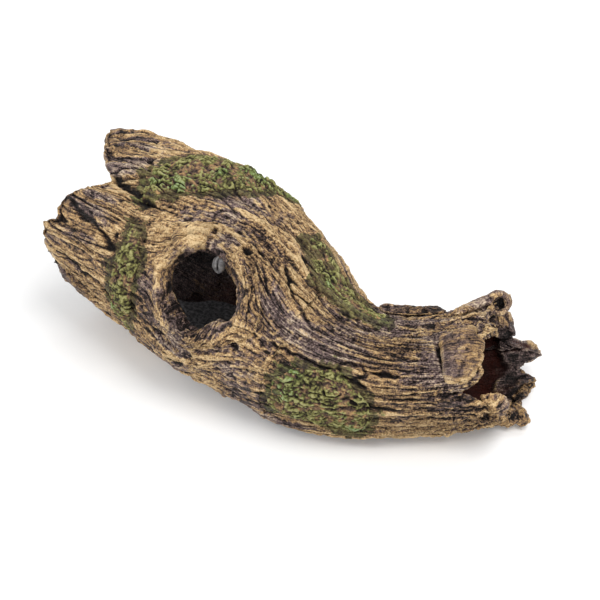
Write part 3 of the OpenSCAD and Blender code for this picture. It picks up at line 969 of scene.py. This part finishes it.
def painted_moss():
    """Moss that thins at its edges to the bark's colours under it, with dark gaps between the tufts."""
    m = Shader("painted_moss")
    here = m.place()
    lump, crack, thin = (m.stored(a) for a in ("lump", "crack", "thin"))
    tint = moss_tint(m, here, lump)
    crumb = m.noise(here, 420.0, 3.0, 0.65)
    bare = m.sum((thin, -0.3), (lump, -0.3), (m.noise(here, 130.0, 3.0), 1.3), (crumb, 0.4))
    bark_tone = m.sum((crumb, 1.3), (lump, 0.5))
    bark_tint = m.stops(bark_tone, (-0.7, WASH), (-0.3, PLUM), (0.15, BROWN), (0.6, OCHRE))
    colour = m.mix(m.span(bare, -0.04, 0.32), tint, bark_tint)
    colour = m.mix(m.span(crack, 0.35, 0.9), colour, WASH)
    relief = m.sum((crumb, 1.0), (m.noise(here, 1000.0, 1.0), 0.3))
    return m.finish(colour, 0.75, m.bump(relief, 0.0014, 0.9), 0.2)


def painted_stone(name, dark, light, roughness, grain):
    """Plain speckled paint for the slab inside and the nodule."""
    m = Shader(name)
    here = m.place()
    speck = m.noise(here, grain, 3.0, 0.65)
    colour = m.mix(m.span(speck, -0.25, 0.35), dark, light)
    colour = m.mix(m.span(m.stored("crack"), 0.3, 0.8), colour, WASH)
    return m.finish(colour, roughness, m.bump(speck, 0.0006, 0.6), 0.5)


bark = painted_bark("painted_bark")
bare_wood = painted_bark("painted_wood", -0.2, 0.6, 0.6)
old_bark = painted_bark("painted_old_bark", -0.35, 0.5)
moss = painted_moss()
slab_paint = painted_stone("painted_slab", paint(46, 45, 48), paint(112, 108, 110), 0.8, 500.0)
nodule_paint = painted_stone("painted_nodule", paint(84, 82, 84), paint(136, 134, 132), 0.28, 260.0)


# ---- Build -------------------------------------------------------------------------------------


def all_faces(names):
    """One search tree over all the faces of some CAD nodes."""
    vertices, faces = [], []
    for name in names:
        faces += [[i + len(vertices) for i in f.vertices] for f in NODES[name].data.polygons]
        vertices += list(corners(name))
    return tree_of(vertices, faces)


moss_tree = all_faces(PADS)
shell_meshes = {name: remeshed([copied(name)], SHELL_VOXEL) for name in SHELLS}
rims = Rims(np.concatenate([read(mesh)[0] for mesh in shell_meshes.values()]))
skins = bare_skins()
for name, mesh in shell_meshes.items():
    others = all_faces([other for other in SHELLS if other != name])
    slot = "trunk_bark" if "trunk" in name else "arm_bark"
    shell_piece(name, mesh, skins[name], others, bark, slot)

wood_piece("knot_collar", bark, "knot_wood", amount=0.95, chips=0.9, swell=0.4)
wood_piece("knot_stub", bark, "knot_wood", amount=0.5, chips=1.2, swell=1.9)
wood_piece("bark_flap", bare_wood, "bark_flake", amount=0.12, chips=0.7, swell=2.6)
wood_piece("bark_strip", old_bark, "old_wood", amount=0.6, chips=0.6)
wood_piece("mouth_burl", bark, "mouth_wood", amount=0.0, chips=2.4, swell=0.5, dim=0.55)
horn_piece("mouth_horn", bark, "mouth_wood")
for name in PADS:
    moss_piece(name, moss)
slab_piece("floor_plate", slab_paint, "floor_slab")
nodule_piece("knot_nodule", nodule_paint, "old_wood")


# ---- Floor, light and camera -------------------------------------------------------------------


def paper():
    """Pale floor paper that gives off a little light of its own."""
    m = Shader("paper")
    tint = m.noise(m.place(), 3.0, 2.0)
    m.put(m.surface.inputs["Emission Color"], (1, 1, 1, 1))
    m.put(m.surface.inputs["Emission Strength"], 0.12)
    faint = m.span(tint, -0.4, 0.4, 0.0, 0.02)
    return m.finish(m.mix(faint, (0.9, 0.9, 0.9, 1), (0.7, 0.7, 0.7, 1)), 0.9)


def floor():
    """A flat floor under the object, 6 m across."""
    half = 3000.0
    square = [(-half, -half, 0), (half, -half, 0), (half, half, 0), (-half, half, 0)]
    made = blank("floor", square, [(0, 1, 2, 3)])
    made.data.materials.append(paper())


def direction(azimuth, elevation):
    """From the object towards a camera or a lamp; azimuth 0 is in front, at -Y."""
    a, e = math.radians(azimuth), math.radians(elevation)
    return Vector((math.sin(a) * math.cos(e), -math.cos(a) * math.cos(e), math.sin(e)))


def lamp(name, azimuth, elevation, distance, size, power):
    """A square soft light that faces the object; distance and size in metres, power in watts."""
    data = bpy.data.lights.new(name, "AREA")
    data.size = size
    data.energy = power
    made = bpy.data.objects.new(name, data)
    made.location = direction(azimuth, elevation) * distance
    made.rotation_euler = (-made.location).to_track_quat("-Z", "Y").to_euler()
    bpy.context.scene.collection.objects.link(made)


def camera(azimuth, elevation, distance, lens, target):
    """The photograph's view: where from, how far in metres, and the lens in millimetres."""
    data = bpy.data.cameras.new("camera")
    data.lens = lens
    data.sensor_width = 36
    made = bpy.data.objects.new("camera", data)
    towards = direction(azimuth, elevation)
    made.location = Vector(target) + towards * distance
    made.rotation_euler = towards.to_track_quat("Z", "Y").to_euler()
    bpy.context.scene.collection.objects.link(made)
    bpy.context.scene.camera = made


floor()
lamp("key", azimuth=65, elevation=62, distance=1.2, size=0.6, power=8)
lamp("fill", azimuth=-30, elevation=45, distance=1.4, size=1.2, power=5)
lamp("back", azimuth=165, elevation=55, distance=1.3, size=0.8, power=4)
lamp("side", azimuth=-85, elevation=14, distance=1.3, size=0.6, power=4)
camera(azimuth=26, elevation=38, distance=0.9, lens=100.5, target=(0, 0.021, 0.040))

scene = bpy.context.scene
scene.world = bpy.data.worlds.new("studio")
scene.world.use_nodes = True
background = scene.world.node_tree.nodes["Background"]
background.inputs["Color"].default_value = (1, 1, 1, 1)
background.inputs["Strength"].default_value = 0.5
scene.view_settings.view_transform = "Standard"
